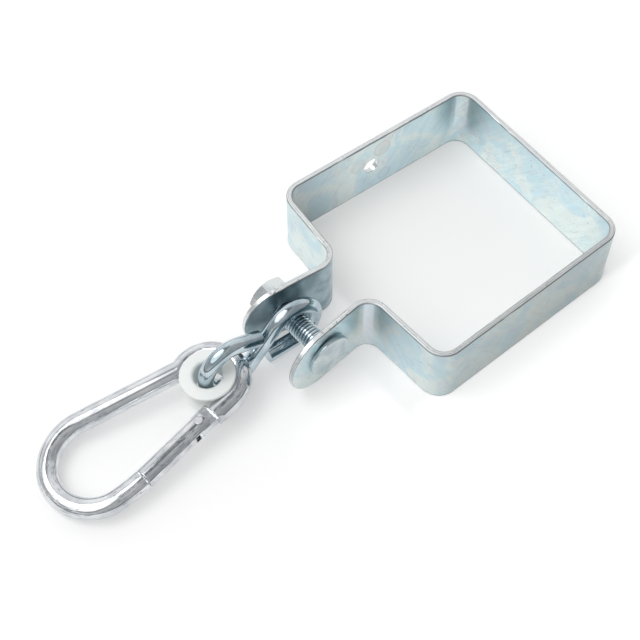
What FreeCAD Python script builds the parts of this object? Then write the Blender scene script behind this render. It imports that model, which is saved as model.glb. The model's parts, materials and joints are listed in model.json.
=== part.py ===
"""Swing hook for a square beam: a bent strap clamped round the beam, a bolt through its
two ears, an S-shaped wire link on the bolt, and a snap hook with a plastic bushing.

Millimetres. The origin is on the table under the middle of the beam socket. +X points
from the ears to the back of the strap, +Y to the wall with the screw hole, +Z up.
"""
import FreeCAD, Part
import math
import os
import Sketcher
import types

V = FreeCAD.Vector
ORIGIN = V(0, 0, 0)
UP = V(0, 0, 1)

# Driving sizes in millimetres and degrees
SIZES = {
    # Strap
    "socket_width": 100.0,
    "socket_depth": 100.3,
    "strap_thickness": 2.5,
    "strap_height": 32.0,
    "bend_radius": 7.0,
    "front_spread_left": 1.85,
    "front_spread_right": 4.25,
    "flange_lean_left": 2.45,
    "flange_lean_right": 3.1,
    "ear_gap_left": 8.95,
    "ear_gap_right": 10.75,
    "ear_splay_left": 5.0,
    "ear_splay_right": 7.7,
    "ear_length_left": 47.2,
    "ear_length_right": 46.0,
    "strip_rounding": 0.5,
    "ear_end_flat": 0.4,
    "screw_hole_diameter": 8.5,
    "screw_hole_x": -3.0,
    # Bolt and nut
    "bolt_diameter": 10.0,
    "bolt_reach": 29.75,
    "bolt_skew": 4.0,
    "bolt_length": 40.5,
    "head_diameter": 20.5,
    "head_thickness": 1.8,
    "head_rounding": 0.5,
    "neck_length": 2.2,
    "neck_clearance": 0.4,
    "hole_clearance": 0.5,
    "nut_across_flats": 17.0,
    "nut_height": 8.0,
    "nut_face_diameter": 16.4,
    "nut_chamfer_angle": 30.0,
    "nut_turn": 18.0,
    # S-shaped link
    "link_wire": 7.0,
    "link_side_offset": 3.0,
    "link_pitch": 32.1,
    "near_eye_radius": 11.5,
    "far_eye_radius": 12.2,
    "near_tip_length": 12.8,
    "near_tip_tilt": 2.9,
    "far_tip_length": 10.9,
    "far_tip_tilt": 23.9,
    "bolt_play": 0.45,
    "bolt_play_angle": 168.7,
    # Snap hook
    "hook_wire": 9.2,
    "hook_side_offset": 4.0,
    "ring_radius": 13.27,
    "spine_offset": 10.52,
    "spine_angle": 8.87,
    "kink_radius": 5.2,
    "bend_start_x": 56.34,
    "bend_start_radius": 21.0,
    "bend_tightening": 1.95,
    "bend_change_angle": -21.5,
    "nose_radius": 91.0,
    "nose_end_y": 19.52,
    "gate_angle": 9.32,
    "pin_x": 14.6,
    "shoulder_x": 8.0,
    "tongue_thickness": 4.0,
    "tongue_width": 8.4,
    "wire_end_rounding": 0.4,
    "trim_lean": 28.0,
    # Gate
    "gate_diameter": 8.9,
    "gate_length": 34.7,
    "gate_tail": 3.1,
    "gate_end_gap": 0.5,
    "gate_rounding": 0.5,
    "cheek_clearance": 0.1,
    "cheek_slot_reach": 6.0,
    "pin_diameter": 3.0,
    "pin_clearance": 0.05,
    "pin_head_diameter": 3.8,
    "pin_head_height": 4.7,
    "pin_head_seat": 3.9,
    "pin_head_rounding": 0.3,
    "tee_neck_length": 3.9,
    "tee_neck_height": 2.0,
    "tee_bar_length": 1.4,
    "tee_bar_height": 5.4,
    "tee_width": 5.2,
    "tee_clearance": 0.3,
    "bore_diameter": 4.2,
    "bore_depth": 17.0,
    "plunger_length": 1.2,
    "plunger_clearance": 0.1,
    "plunger_rounding": 0.3,
    "spring_wire": 0.6,
    "spring_pitch": 1.8,
    "spring_end_gap": 0.03,
    # Bushing
    "hole_diameter": 12.0,
    "mouth_rounding": 1.5,
    "rim_diameter": 24.0,
    "rim_height": 5.6,
    "rim_rounding": 0.8,
    "groove_clearance": 0.15,
    "hang_play": 0.1,
    "hang_angle": -43.5,
    # How far a cut or a joined piece runs past the face that it meets
    "overlap": 1.0,
}

# Nearest distance that counts as touching when edges are picked out
NEAR = 0.01
BOLT_X = "(Sizes.socket_width / 2 - Sizes.socket_depth - Sizes.strap_thickness / 2 - Sizes.bolt_reach)"

os.makedirs("parts", exist_ok=True)
doc = FreeCAD.newDocument("beam_swing_hook")
sheet = doc.addObject("Spreadsheet::Sheet", "Sizes")
for row, (alias, value) in enumerate(SIZES.items(), start=1):
    sheet.set(f"A{row}", alias)
    sheet.set(f"B{row}", str(value))
    sheet.setAlias(f"B{row}", alias)
doc.recompute()

# The same sizes as attributes, for places worked out in code
size = types.SimpleNamespace(**SIZES)


# Helpers for sketches and features


def new_body(label):
    body = doc.addObject("PartDesign::Body", label)
    body.Label = label
    return body


def origin_plane(body, role):
    return next(item for item in body.Origin.OriginFeatures if item.Role == role)


def sketch_on(body, name, role):
    """A sketch on one of the body's own origin planes."""
    sketch = body.newObject("Sketcher::SketchObject", name)
    sketch.AttachmentSupport = [(origin_plane(body, role), "")]
    sketch.MapMode = "FlatFace"
    return sketch


def bind(sketch, constraint, expression):
    """Add a dimension to a sketch and tie it to the sheet."""
    index = sketch.addConstraint(constraint)
    sketch.setExpression(f"Constraints[{index}]", expression)


def join(sketch, first, first_end, second, second_end, kind="Coincident"):
    sketch.addConstraint(Sketcher.Constraint(kind, first, first_end, second, second_end))


def line(sketch, start, end, construction=False):
    return sketch.addGeometry(Part.LineSegment(V(*start, 0), V(*end, 0)), construction)


def arc(sketch, centre, radius, start_deg, end_deg):
    circle = Part.Circle(V(*centre, 0), UP, radius)
    return sketch.addGeometry(Part.ArcOfCircle(circle, math.radians(start_deg), math.radians(end_deg)))


def circle(sketch, diameter_expression, centre=None):
    """A circle on the sketch's origin, or on a centre given as two pairs of number and expression."""
    at_x, at_y = (centre[0][0], centre[1][0]) if centre else (0.0, 0.0)
    name = sketch.addGeometry(Part.Circle(V(at_x, at_y, 0), UP, size.bolt_diameter / 2))
    bind(sketch, Sketcher.Constraint("Diameter", name, size.bolt_diameter), diameter_expression)
    if centre is None:
        join(sketch, name, 3, -1, 1)
    elif centre[1][1] is None:
        bind(sketch, Sketcher.Constraint("DistanceX", -1, 1, name, 3, at_x), centre[0][1])
        sketch.addConstraint(Sketcher.Constraint("PointOnObject", name, 3, -1))
    else:
        bind(sketch, Sketcher.Constraint("DistanceX", -1, 1, name, 3, at_x), centre[0][1])
        bind(sketch, Sketcher.Constraint("DistanceY", -1, 1, name, 3, at_y), centre[1][1])
    return name


def rectangle(sketch, left, right, bottom, top):
    """A rectangle whose four sides are given as expressions, with numbers for the first guess."""
    corners = [(left[0], bottom[0]), (right[0], bottom[0]), (right[0], top[0]), (left[0], top[0])]
    sides = [line(sketch, corners[i], corners[(i + 1) % 4]) for i in range(4)]
    for i in range(4):
        join(sketch, sides[i], 2, sides[(i + 1) % 4], 1)
        sketch.addConstraint(Sketcher.Constraint("Horizontal" if i % 2 == 0 else "Vertical", sides[i]))
    bind(sketch, Sketcher.Constraint("DistanceX", -1, 1, sides[0], 1, left[0]), left[1])
    bind(sketch, Sketcher.Constraint("DistanceX", -1, 1, sides[0], 2, right[0]), right[1])
    bind(sketch, Sketcher.Constraint("DistanceY", -1, 1, sides[0], 1, bottom[0]), bottom[1])
    bind(sketch, Sketcher.Constraint("DistanceY", -1, 1, sides[2], 1, top[0]), top[1])


def pad(body, name, sketch, length_expression, symmetric=False, reverse=False):
    feature = body.newObject("PartDesign::Pad", name)
    feature.Profile = sketch
    feature.SideType = "Symmetric" if symmetric else "One side"
    feature.Reversed = reverse
    feature.setExpression("Length", length_expression)
    doc.recompute()
    return feature


def pocket(body, name, sketch, length_expression, symmetric=False, reverse=False):
    """Cut a sketch out of the body and check that something was taken away."""
    before = body.Shape.Volume
    feature = body.newObject("PartDesign::Pocket", name)
    feature.Profile = sketch
    feature.SideType = "Symmetric" if symmetric else "One side"
    feature.Reversed = reverse
    feature.setExpression("Length", length_expression)
    doc.recompute()
    if body.Shape.Volume >= before:
        raise RuntimeError(f"{name} cuts nothing")
    return feature


def revolve(body, name, sketch, role):
    feature = body.newObject("PartDesign::Revolution", name)
    feature.Profile = sketch
    feature.ReferenceAxis = (origin_plane(body, role), "")
    feature.Angle = 360
    doc.recompute()
    return feature


def fillet(body, name, base, edges, radius_expression):
    feature = body.newObject("PartDesign::Fillet", name)
    feature.Base = (base, edges)
    feature.setExpression("Radius", radius_expression)
    doc.recompute()
    return feature


def sweep_round(body, path, diameter_expression, from_end=False):
    """Round wire swept along a sketched path, from the free end of the path's first edge."""
    profile = body.newObject("Sketcher::SketchObject", "wire_section")
    profile.AttachmentSupport = [(path, "Edge1")]
    profile.MapMode = "NormalToEdge"
    profile.MapPathParameter = 1.0 if from_end else 0.0
    doc.recompute()
    circle(profile, diameter_expression)
    pipe = body.newObject("PartDesign::AdditivePipe", "wire")
    pipe.Profile = profile
    pipe.Spine = path
    doc.recompute()
    return pipe


def edges_where(shape, test):
    return [f"Edge{i + 1}" for i, edge in enumerate(shape.Edges) if test(edge)]


# Strap


def strap_corners():
    """Sharp corners of the strip's middle line in plan, from the left ear to the right ear."""
    half = size.strap_thickness / 2
    back = size.socket_width / 2 + half
    front = back - size.socket_depth - size.strap_thickness
    left_root = V(front - size.flange_lean_left, size.ear_gap_left + half)
    right_root = V(front - size.flange_lean_right, -size.ear_gap_right - half)
    left = math.radians(size.ear_splay_left)
    right = math.radians(size.ear_splay_right)
    left_tip = left_root + V(-math.cos(left), math.sin(left)) * size.ear_length_left
    right_tip = right_root + V(-math.cos(right), -math.sin(right)) * size.ear_length_right
    return [
        left_tip,
        left_root,
        V(front, back + size.front_spread_left),
        V(back, back),
        V(back, -back),
        V(front, -back - size.front_spread_right),
        right_root,
        right_tip,
    ]


def strap_path(body):
    """Seven straight runs joined by tangent bends, dimensioned at the sharp corners."""
    corners = strap_corners()
    radius = size.bend_radius + size.strap_thickness / 2
    sketch = sketch_on(body, "bend_line", "XY_Plane")
    trims = [0.0] * len(corners)
    for i in range(1, len(corners) - 1):
        before = (corners[i - 1] - corners[i]).normalize()
        after = (corners[i + 1] - corners[i]).normalize()
        trims[i] = radius / math.tan(before.getAngle(after) / 2)
    runs = []
    for i in range(len(corners) - 1):
        along = (corners[i + 1] - corners[i]).normalize()
        start = corners[i] + along * trims[i]
        end = corners[i + 1] - along * trims[i + 1]
        runs.append((start, end))
    lines = [sketch.addGeometry(Part.LineSegment(start, end)) for start, end in runs]
    for i in range(len(runs) - 1):
        corner = corners[i + 1]
        before = (corners[i] - corner).normalize()
        after = (corners[i + 2] - corner).normalize()
        inward = (before + after).normalize()
        centre = corner + inward * (radius / math.sin(before.getAngle(after) / 2))
        # An arc runs counter-clockwise, so where the strip turns right it runs against the path
        turns_left = before.cross(after).z < 0
        first, last = (runs[i][1], runs[i + 1][0]) if turns_left else (runs[i + 1][0], runs[i][1])
        bend = arc(sketch, (centre.x, centre.y), radius, bearing(centre, first), bearing(centre, last))
        join(sketch, lines[i], 2, bend, 1 if turns_left else 2, "Tangent")
        join(sketch, bend, 2 if turns_left else 1, lines[i + 1], 1, "Tangent")
        bind(sketch, Sketcher.Constraint("Radius", bend, radius),
             "Sizes.bend_radius + Sizes.strap_thickness / 2")
    back = "(Sizes.socket_width / 2 + Sizes.strap_thickness / 2)"
    front = f"({back} - Sizes.socket_depth - Sizes.strap_thickness)"
    places = [
        (f"{front} - Sizes.flange_lean_left", "Sizes.ear_gap_left + Sizes.strap_thickness / 2"),
        (front, f"{back} + Sizes.front_spread_left"),
        (back, back),
        (back, f"-{back}"),
        (front, f"-{back} - Sizes.front_spread_right"),
        (f"{front} - Sizes.flange_lean_right", "-Sizes.ear_gap_right - Sizes.strap_thickness / 2"),
    ]
    for i, (x_expression, y_expression) in enumerate(places):
        corner = corners[i + 1]
        point = sketch.addGeometry(Part.Point(corner), True)
        sketch.addConstraint(Sketcher.Constraint("PointOnObject", point, 1, lines[i]))
        sketch.addConstraint(Sketcher.Constraint("PointOnObject", point, 1, lines[i + 1]))
        bind(sketch, Sketcher.Constraint("DistanceX", -1, 1, point, 1, corner.x), x_expression)
        bind(sketch, Sketcher.Constraint("DistanceY", -1, 1, point, 1, corner.y), y_expression)
    tips = [
        (lines[0], 1, corners[0], corners[1], "left", 1),
        (lines[-1], 2, corners[-1], corners[-2], "right", -1),
    ]
    for ear, end, tip, root, side, up in tips:
        reach = f"Sizes.ear_length_{side} * cos(Sizes.ear_splay_{side} * 1 deg)"
        rise = f"Sizes.ear_length_{side} * sin(Sizes.ear_splay_{side} * 1 deg)"
        root_x, root_y = places[0] if side == "left" else places[-1]
        sign = "+" if up > 0 else "-"
        bind(sketch, Sketcher.Constraint("DistanceX", -1, 1, ear, end, tip.x), f"{root_x} - {reach}")
        bind(sketch, Sketcher.Constraint("DistanceY", -1, 1, ear, end, tip.y), f"{root_y} {sign} {rise}")
    doc.recompute()
    return sketch


def bearing(centre, point):
    return math.degrees(math.atan2(point.y - centre.y, point.x - centre.x))


def bolt_x():
    """The bolt's place in X: a set reach in front of the flanges' sharp corners."""
    return size.socket_width / 2 - size.socket_depth - size.strap_thickness / 2 - size.bolt_reach


def bolt_frame():
    """Placement of the bolt: its +Z runs from the head to the nut, and its origin is in the gap."""
    skew = math.radians(size.bolt_skew)
    middle = V(bolt_x(), 0, size.strap_height / 2)
    return FreeCAD.Placement(middle, FreeCAD.Rotation(UP, V(-math.sin(skew), math.cos(skew), 0)))


def ear_seat(side, face_radius):
    """Distance along the bolt at which a flat face of this radius first meets the ear's outer face."""
    corners = strap_corners()
    root, tip = (corners[1], corners[0]) if side == "left" else (corners[-2], corners[-1])
    along = (tip - root).normalize()
    outward = V(along.y, -along.x, 0) if side == "left" else V(-along.y, along.x, 0)
    on_face = root + outward * (size.strap_thickness / 2)
    frame = bolt_frame()
    axis = frame.Rotation.multVec(UP)
    lean = math.sin(min(axis.getAngle(outward), axis.getAngle(-outward)))
    gap = (on_face - V(frame.Base.x, frame.Base.y, 0)).dot(outward)
    return (gap + face_radius * lean) / axis.dot(outward)


def make_strap():
    """One strip bent to the beam, with two rounded ears, a bolt hole, a square hole and a screw hole."""
    body = new_body("strap")
    path = strap_path(body)
    profile = body.newObject("Sketcher::SketchObject", "strip_section")
    profile.AttachmentSupport = [(path, "Edge1")]
    profile.MapMode = "NormalToEdge"
    doc.recompute()
    half = size.strap_thickness / 2
    tall = size.strap_height
    # The section's own Y axis runs up or down, so its height is laid off towards +Z
    upward = profile.Placement.Rotation.multVec(V(0, 1, 0)).z > 0
    bottom, top = (0.0, tall) if upward else (-tall, 0.0)
    low, high = ("0", "Sizes.strap_height") if upward else ("-Sizes.strap_height", "0")
    rectangle(profile, (-half, "-Sizes.strap_thickness / 2"), (half, "Sizes.strap_thickness / 2"),
              (bottom, low), (top, high))
    strip = body.newObject("PartDesign::AdditivePipe", "strip")
    strip.Profile = profile
    strip.Spine = path
    doc.recompute()
    tips = [strap_corners()[0], strap_corners()[-1]]

    def on_ear_corner(edge):
        middle = edge.valueAt((edge.FirstParameter + edge.LastParameter) / 2)
        near_tip = min((V(middle.x, middle.y, 0) - tip).Length for tip in tips) < NEAR
        return near_tip and edge.Length < size.strap_thickness + NEAR

    ends = fillet(body, "ear_ends", strip, edges_where(strip.Shape, on_ear_corner),
                  "(Sizes.strap_height - Sizes.ear_end_flat) / 2")

    def is_long_outline(edge):
        box = edge.BoundBox
        upright = box.XLength < NEAR and box.YLength < NEAR
        return edge.Length > size.strap_thickness + NEAR and not upright

    fillet(body, "worn_edges", ends, edges_where(ends.Shape, is_long_outline), "Sizes.strip_rounding")
    frame = bolt_frame()
    round_hole = bolt_plane_sketch(body, "bolt_hole_outline", frame)
    circle(round_hole, "Sizes.bolt_diameter + 2 * Sizes.hole_clearance")
    pocket(body, "bolt_hole", round_hole, "Sizes.ear_gap_left + Sizes.ear_length_left / 2", reverse=True)
    square_hole = bolt_plane_sketch(body, "square_hole_outline", frame)
    reach = size.bolt_diameter / 2 + size.neck_clearance
    bound = "Sizes.bolt_diameter / 2 + Sizes.neck_clearance"
    rectangle(square_hole, (-reach, f"-({bound})"), (reach, bound), (-reach, f"-({bound})"), (reach, bound))
    pocket(body, "square_hole", square_hole, "Sizes.ear_gap_right + Sizes.ear_length_right / 2")
    screw = sketch_on(body, "screw_hole_outline", "XZ_Plane")
    middle = ((size.screw_hole_x, "Sizes.screw_hole_x"), (size.strap_height / 2, "Sizes.strap_height / 2"))
    circle(screw, "Sizes.screw_hole_diameter", middle)
    pocket(body, "screw_hole", screw, "Sizes.socket_width")
    return body


def bolt_plane_sketch(body, name, frame):
    """A sketch square to the bolt, in the middle of the gap, with its origin on the bolt's axis."""
    sketch = sketch_on(body, name, "XY_Plane")
    sketch.AttachmentOffset = frame
    sketch.setExpression(".AttachmentOffset.Base.x", BOLT_X)
    sketch.setExpression(".AttachmentOffset.Base.z", "Sizes.strap_height / 2")
    doc.recompute()
    return sketch


# Bolt and nut


def make_bolt():
    """Flat round head, short square neck and a round shank, along +Z from the head's seat."""
    body = new_body("pivot_bolt")
    head = sketch_on(body, "head_outline", "XY_Plane")
    circle(head, "Sizes.head_diameter")
    disc = pad(body, "head", head, "Sizes.head_thickness", reverse=True)
    under = -size.head_thickness / 2
    rim = edges_where(disc.Shape, lambda edge: edge.BoundBox.ZMax < under and edge.BoundBox.ZLength < NEAR)
    fillet(body, "head_rim", disc, rim, "Sizes.head_rounding")
    shank = sketch_on(body, "shank_outline", "XY_Plane")
    circle(shank, "Sizes.bolt_diameter")
    pad(body, "shank", shank, "Sizes.bolt_length")
    neck = sketch_on(body, "neck_outline", "XY_Plane")
    half = size.bolt_diameter / 2
    bound = "Sizes.bolt_diameter / 2"
    rectangle(neck, (-half, f"-{bound}"), (half, bound), (-half, f"-{bound}"), (half, bound))
    pad(body, "neck", neck, "Sizes.neck_length")
    frame = bolt_frame()
    seat = ear_seat("right", size.head_diameter / 2)
    body.Placement = frame.multiply(FreeCAD.Placement(V(0, 0, seat), FreeCAD.Rotation()))
    return body


def make_nut():
    """Hexagon nut with both ends chamfered, standing on +Z."""
    body = new_body("nut")
    barrel = sketch_on(body, "barrel_half", "XZ_Plane")
    face = size.nut_face_diameter / 2
    hexagon_radius = size.nut_across_flats / math.sqrt(3)
    corner = hexagon_radius + size.overlap
    drop = (corner - face) * math.tan(math.radians(size.nut_chamfer_angle))
    bore = size.bolt_diameter / 2
    points = [(bore, 0), (face, 0), (corner, drop), (corner, size.nut_height - drop),
              (face, size.nut_height), (bore, size.nut_height)]
    sides = [line(barrel, points[i], points[(i + 1) % 6]) for i in range(6)]
    for i in range(6):
        join(barrel, sides[i], 2, sides[(i + 1) % 6], 1)
    for i in (0, 4):
        barrel.addConstraint(Sketcher.Constraint("Horizontal", sides[i]))
    for i in (2, 5):
        barrel.addConstraint(Sketcher.Constraint("Vertical", sides[i]))
    outer = "(Sizes.nut_across_flats / sqrt(3) + Sizes.overlap)"
    rise = f"({outer} - Sizes.nut_face_diameter / 2) * tan(Sizes.nut_chamfer_angle * 1 deg)"
    bind(barrel, Sketcher.Constraint("DistanceX", -1, 1, sides[0], 1, bore), "Sizes.bolt_diameter / 2")
    bind(barrel, Sketcher.Constraint("DistanceX", -1, 1, sides[0], 2, face), "Sizes.nut_face_diameter / 2")
    bind(barrel, Sketcher.Constraint("DistanceX", -1, 1, sides[4], 1, face), "Sizes.nut_face_diameter / 2")
    bind(barrel, Sketcher.Constraint("DistanceX", -1, 1, sides[2], 1, corner), outer)
    barrel.addConstraint(Sketcher.Constraint("DistanceY", -1, 1, sides[0], 1, 0.0))
    bind(barrel, Sketcher.Constraint("DistanceY", -1, 1, sides[2], 1, drop), rise)
    bind(barrel, Sketcher.Constraint("DistanceY", -1, 1, sides[2], 2, size.nut_height - drop),
         f"Sizes.nut_height - {rise}")
    bind(barrel, Sketcher.Constraint("DistanceY", -1, 1, sides[4], 1, size.nut_height), "Sizes.nut_height")
    revolve(body, "barrel", barrel, "Z_Axis")
    flats = sketch_on(body, "flats_outline", "XY_Plane")
    hexagon(flats, hexagon_radius, "Sizes.nut_across_flats / sqrt(3)")
    circle(flats, "2 * Sizes.nut_across_flats")
    pocket(body, "flats", flats, "Sizes.nut_height", reverse=True)
    frame = bolt_frame()
    seat = ear_seat("left", size.nut_face_diameter / 2)
    turned = FreeCAD.Rotation(UP, size.nut_turn)
    body.Placement = frame.multiply(FreeCAD.Placement(V(0, 0, seat), turned))
    return body


def hexagon(sketch, radius, radius_expression):
    """Regular hexagon on a construction circle, with one corner on the X axis."""
    guide = sketch.addGeometry(Part.Circle(ORIGIN, UP, radius), True)
    join(sketch, guide, 3, -1, 1)
    bind(sketch, Sketcher.Constraint("Radius", guide, radius), radius_expression)
    points = [(radius * math.cos(math.radians(60 * i)), radius * math.sin(math.radians(60 * i)))
              for i in range(6)]
    sides = [line(sketch, points[i], points[(i + 1) % 6]) for i in range(6)]
    for i in range(6):
        join(sketch, sides[i], 2, sides[(i + 1) % 6], 1)
        sketch.addConstraint(Sketcher.Constraint("PointOnObject", sides[i], 1, guide))
        if i:
            sketch.addConstraint(Sketcher.Constraint("Equal", sides[0], sides[i]))
    sketch.addConstraint(Sketcher.Constraint("PointOnObject", sides[0], 1, -1))


# S-shaped link


def near_eye_centre():
    """Centre of the eye on the bolt, in X and Z: the wire hangs on the bolt with a little play."""
    reach = size.near_eye_radius - (size.link_wire + size.bolt_diameter) / 2 - size.bolt_play
    turn = math.radians(size.bolt_play_angle)
    return V(bolt_x() + reach * math.cos(turn), 0, size.strap_height / 2 + reach * math.sin(turn))


def far_eye_centre():
    """Centre of the eye on the bushing: that eye lies on the table."""
    near = near_eye_centre()
    height = size.far_eye_radius + size.link_wire / 2
    return V(near.x - math.sqrt(size.link_pitch ** 2 - (near.z - height) ** 2), 0, height)


def make_link():
    """Round wire bent to an S: two eyes, each nearly closed by a straight tip, and a slanting middle."""
    body = new_body("s_link")
    near = near_eye_centre()
    far = far_eye_centre()
    path = sketch_on(body, "s_line", "XZ_Plane")
    near_r = size.near_eye_radius
    far_r = size.far_eye_radius
    # The middle run is the inner tangent from the top left of one eye to the bottom right of the other
    between = math.degrees(math.atan2(near.z - far.z, near.x - far.x))
    spread = (near - far).Length
    lean = math.degrees(math.acos((near_r + far_r) / spread))
    near_touch = between + 180 - lean
    far_touch = between - lean

    def on(centre, radius, angle):
        return (centre.x + radius * math.cos(math.radians(angle)),
                centre.z + radius * math.sin(math.radians(angle)))

    # Both tips tilt towards the middle run: the near one rises and the far one comes down
    near_leave = -90 - size.near_tip_tilt
    far_leave = 90 - size.far_tip_tilt
    near_tilt = math.radians(size.near_tip_tilt)
    far_tilt = math.radians(size.far_tip_tilt)
    near_low = on(near, near_r, near_leave)
    far_top = on(far, far_r, far_leave)
    near_end = (near_low[0] - size.near_tip_length * math.cos(near_tilt),
                near_low[1] + size.near_tip_length * math.sin(near_tilt))
    far_end = (far_top[0] + size.far_tip_length * math.cos(far_tilt),
               far_top[1] - size.far_tip_length * math.sin(far_tilt))
    near_tip = line(path, near_end, near_low)
    near_eye = arc(path, (near.x, near.z), near_r, near_leave, near_touch)
    middle = line(path, on(near, near_r, near_touch), on(far, far_r, far_touch))
    far_eye = arc(path, (far.x, far.z), far_r, far_leave, far_touch + 360)
    far_tip = line(path, far_top, far_end)
    join(path, near_tip, 2, near_eye, 1, "Tangent")
    join(path, near_eye, 2, middle, 1, "Tangent")
    join(path, middle, 2, far_eye, 2, "Tangent")
    join(path, far_eye, 1, far_tip, 1, "Tangent")
    for tip, tilt, name in ((near_tip, near_tilt, "near"), (far_tip, far_tilt, "far")):
        bind(path, Sketcher.Constraint("Angle", tip, -tilt), f"-Sizes.{name}_tip_tilt * 1 deg")
        bind(path, Sketcher.Constraint("Distance", tip, size.link_wire), f"Sizes.{name}_tip_length")
    bind(path, Sketcher.Constraint("Radius", near_eye, near_r), "Sizes.near_eye_radius")
    bind(path, Sketcher.Constraint("Radius", far_eye, far_r), "Sizes.far_eye_radius")
    reach = "(Sizes.near_eye_radius - (Sizes.link_wire + Sizes.bolt_diameter) / 2 - Sizes.bolt_play)"
    near_x = f"({BOLT_X} + {reach} * cos(Sizes.bolt_play_angle * 1 deg))"
    near_z = f"(Sizes.strap_height / 2 + {reach} * sin(Sizes.bolt_play_angle * 1 deg))"
    far_z = "(Sizes.far_eye_radius + Sizes.link_wire / 2)"
    far_x = f"({near_x} - sqrt(Sizes.link_pitch ^ 2 - ({near_z} - {far_z}) ^ 2))"
    bind(path, Sketcher.Constraint("DistanceX", -1, 1, near_eye, 3, near.x), near_x)
    bind(path, Sketcher.Constraint("DistanceY", -1, 1, near_eye, 3, near.z), near_z)
    bind(path, Sketcher.Constraint("DistanceX", -1, 1, far_eye, 3, far.x), far_x)
    bind(path, Sketcher.Constraint("DistanceY", -1, 1, far_eye, 3, far.z), far_z)
    doc.recompute()
    sweep_round(body, path, "Sizes.link_wire")
    body.Placement.Base = V(0, size.link_side_offset, 0)
    body.setExpression(".Placement.Base.y", "Sizes.link_side_offset")
    return body


# Snap hook. In its own frame the bushing's axis is Z, and +X runs towards the big bend


def hook_path(body):
    """Middle line of the hook's wire: shoulder, ring round the bushing, kink, spine, big bend, nose."""
    sketch = sketch_on(body, "hook_line", "XY_Plane")
    gate = math.radians(size.gate_angle)
    spine = math.radians(-size.spine_angle)
    ring = size.ring_radius
    ring_start = (-ring * math.sin(gate), ring * math.cos(gate))
    run = (size.shoulder_x - ring_start[0]) / math.cos(gate)
    shoulder = (size.shoulder_x, ring_start[1] + run * math.sin(gate))
    # The kink is an arc bent the other way, touching the ring outside and the spine
    kink = size.kink_radius
    from_ring = ring + kink
    side = size.spine_offset + kink
    along = math.sqrt(from_ring ** 2 - side ** 2)
    outward = (math.sin(spine), -math.cos(spine))
    kink_centre = (along * math.cos(spine) + side * outward[0], along * math.sin(spine) + side * outward[1])
    kink_angle = math.degrees(math.atan2(kink_centre[1], kink_centre[0]))
    spine_start = (kink_centre[0] - kink * outward[0], kink_centre[1] - kink * outward[1])
    away = math.degrees(math.atan2(-outward[1], -outward[0]))
    bend_x = size.bend_start_x
    bend_r = size.bend_start_radius
    bend_y = bend_centre_y()
    spine_end = (bend_x + bend_r * outward[0], bend_y + bend_r * outward[1])
    mid_r = bend_r - size.bend_tightening
    first_turn = size.bend_change_angle
    mid_x = bend_x + size.bend_tightening * math.cos(math.radians(first_turn))
    mid_y = bend_y + size.bend_tightening * math.sin(math.radians(first_turn))
    nose_r = size.nose_radius
    nose_end = (size.pin_x + gate_span() * math.cos(gate), size.nose_end_y)
    # The nose takes over from the bend almost straight above its centre; the sketch finds the exact place
    nose_turn = 90 - size.gate_angle / 4
    nose_centre = (mid_x + (mid_r - nose_r) * math.cos(math.radians(nose_turn)),
                   mid_y + (mid_r - nose_r) * math.sin(math.radians(nose_turn)))
    tail = math.degrees(math.atan2(nose_end[1] - nose_centre[1], nose_end[0] - nose_centre[0]))
    lead = line(sketch, ring_start, shoulder)
    ring_arc = arc(sketch, (0, 0), ring, math.degrees(gate) + 90, kink_angle + 360)
    kink_arc = arc(sketch, kink_centre, kink, away, kink_angle + 180)
    spine_line = line(sketch, spine_start, spine_end)
    leave = math.degrees(math.atan2(outward[1], outward[0]))
    first = arc(sketch, (bend_x, bend_y), bend_r, leave, first_turn)
    second = arc(sketch, (mid_x, mid_y), mid_r, first_turn, nose_turn)
    third = arc(sketch, nose_centre, nose_r, nose_turn, tail)
    join(sketch, lead, 1, ring_arc, 1, "Tangent")
    join(sketch, ring_arc, 2, kink_arc, 2, "Tangent")
    join(sketch, kink_arc, 1, spine_line, 1, "Tangent")
    join(sketch, spine_line, 2, first, 1, "Tangent")
    join(sketch, first, 2, second, 1, "Tangent")
    join(sketch, second, 2, third, 1, "Tangent")
    join(sketch, ring_arc, 3, -1, 1)
    for name, value, alias in ((ring_arc, ring, "ring_radius"), (kink_arc, kink, "kink_radius"),
                               (first, bend_r, "bend_start_radius"), (third, nose_r, "nose_radius")):
        bind(sketch, Sketcher.Constraint("Radius", name, value), f"Sizes.{alias}")
    bind(sketch, Sketcher.Constraint("Radius", second, mid_r),
         "Sizes.bend_start_radius - Sizes.bend_tightening")
    bind(sketch, Sketcher.Constraint("DistanceX", -1, 1, lead, 2, shoulder[0]), "Sizes.shoulder_x")
    bind(sketch, Sketcher.Constraint("Angle", lead, gate), "Sizes.gate_angle")
    bind(sketch, Sketcher.Constraint("Angle", spine_line, spine), "-Sizes.spine_angle")
    bind(sketch, Sketcher.Constraint("Distance", -1, 1, spine_line, size.spine_offset), "Sizes.spine_offset")
    bind(sketch, Sketcher.Constraint("DistanceX", -1, 1, first, 3, bend_x), "Sizes.bend_start_x")
    bind(sketch, Sketcher.Constraint("DistanceX", first, 3, second, 3, mid_x - bend_x),
         "Sizes.bend_tightening * cos(Sizes.bend_change_angle * 1 deg)")
    span = "(Sizes.gate_length - Sizes.gate_tail + Sizes.gate_end_gap)"
    bind(sketch, Sketcher.Constraint("DistanceX", -1, 1, third, 2, nose_end[0]),
         f"Sizes.pin_x + {span} * cos(Sizes.gate_angle * 1 deg)")
    bind(sketch, Sketcher.Constraint("DistanceY", -1, 1, third, 2, nose_end[1]), "Sizes.nose_end_y")
    doc.recompute()
    return sketch


def bend_centre_y():
    """Height of the first bend's centre, so that the bend touches the spine."""
    spine = math.radians(size.spine_angle)
    across = size.spine_offset - size.bend_start_radius
    return -(across + size.bend_start_x * math.sin(spine)) / math.cos(spine)


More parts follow.
